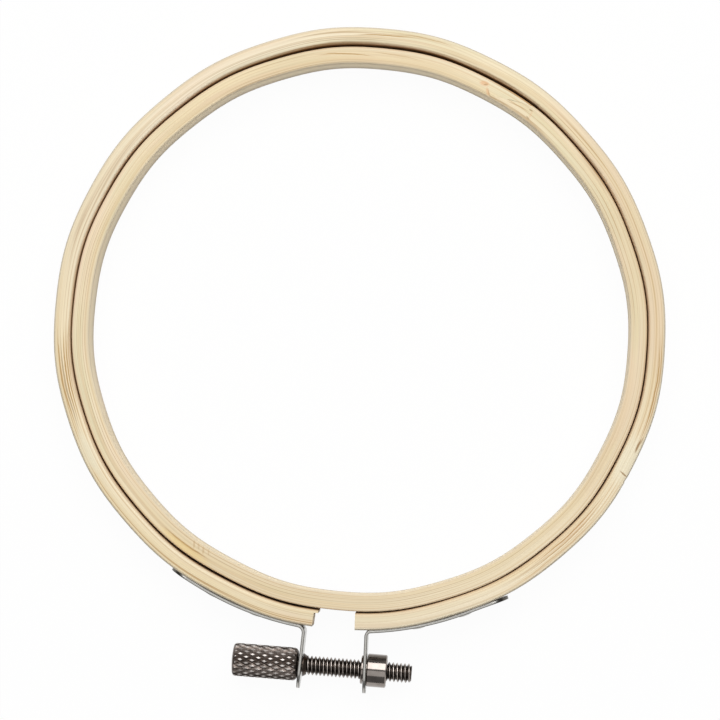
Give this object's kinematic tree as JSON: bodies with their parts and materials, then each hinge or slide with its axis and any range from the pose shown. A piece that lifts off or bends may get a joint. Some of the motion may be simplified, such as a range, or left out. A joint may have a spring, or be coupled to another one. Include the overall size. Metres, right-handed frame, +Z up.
{
  "type": "embroidery hoop",
  "caption": "Round bamboo embroidery hoop: a closed inner ring in a split outer ring, which a knurled thumb screw between two steel brackets draws tight round the fabric.",
  "frame": {"origin": "middle of the hoop: on the rings' axis, at half the height of the rings", "axes": "+Z up, square to the plane of the hoop; +X along the clamp screw, from its knurled head towards its nut; -Y from the middle of the hoop towards the screw"},
  "size_m": [0.125, 0.1379, 0.009],
  "materials": {
    "bamboo_outer": "pale bamboo, planed and lightly sanded, grain along the ring",
    "bamboo_inner": "pale bamboo, planed and lightly sanded, grain along the ring",
    "strip_steel": "bright plated strip",
    "rivet_steel": "bright plated",
    "dark_screw_steel": "dark nickel plate",
    "dark_knurled_steel": "dark nickel plate over a diamond knurl",
    "dark_nut_steel": "dark nickel plate, turned"
  },
  "bodies": {
    "hoop_frame": {"outer_ring": "bamboo_outer", "left_bracket": "strip_steel", "left_bracket_rivets": "rivet_steel"},
    "right_clamp": {"right_bracket": "strip_steel", "right_bracket_rivets": "rivet_steel", "barrel_nut": "dark_nut_steel"},
    "screw": {"clamp_screw": "dark_screw_steel", "thumb_head": "dark_knurled_steel"},
    "inner_hoop": {"inner_ring": "bamboo_inner"}
  },
  "joints": [
    {"name": "screw_spin", "type": "hinge", "parent": "hoop_frame", "child": "screw", "pos_m": [0, -0.0706, 0], "axis": [-1, 0, 0], "range_deg": [-181, 2161]},
    {"name": "clamp_opening", "type": "hinge", "parent": "hoop_frame", "child": "right_clamp", "pos_m": [0.00838, 0.06017, 0], "axis": [0, 0, 1], "range_deg": [-0.18, 2.1], "deforming": ["outer_ring"]},
    {"name": "inner_lift", "type": "slide", "parent": "hoop_frame", "child": "inner_hoop", "axis": [0, 0, 1], "range_m": [0, 0.03]}
  ],
  "couplings": [
    {"joint": "screw_spin", "follows": "clamp_opening", "ratio": 1027.1}
  ]
}
